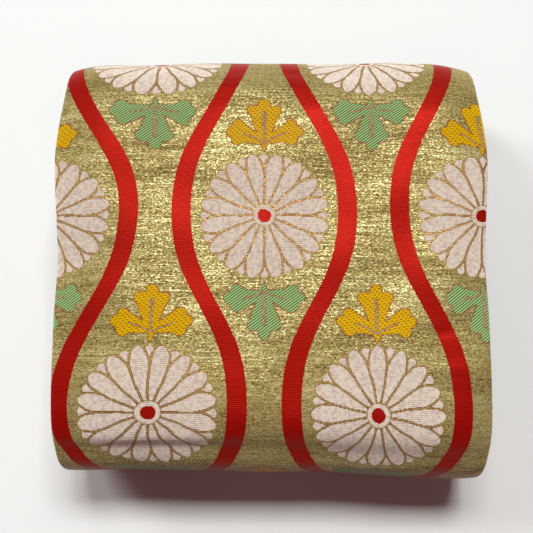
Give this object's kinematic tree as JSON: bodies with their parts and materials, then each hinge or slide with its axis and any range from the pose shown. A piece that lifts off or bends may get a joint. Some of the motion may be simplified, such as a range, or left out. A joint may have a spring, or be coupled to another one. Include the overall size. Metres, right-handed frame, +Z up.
{
  "type": "obi sash, rolled flat",
  "caption": "Wide lined brocade sash for a kimono, rolled flat into a soft rounded package that lies face up.",
  "frame": {"origin": "centre of the package's bounding box, on the surface that it lies on", "axes": "+X across the cloth's width, +Y towards the far fold, +Z up, out of the face of the cloth"},
  "size_m": [0.311, 0.3202, 0.115],
  "materials": {
    "brocade": "gold metallic weave with red, pink, green and yellow figures",
    "lining": "plain cream-gold satin weave",
    "layered_cloth": "layered edges of the gold brocade and its lining"
  },
  "bodies": {
    "root": {"outer_turn_front": "brocade", "outer_turn_lining": "lining", "inner_turns": "layered_cloth"}
  },
  "joints": []
}
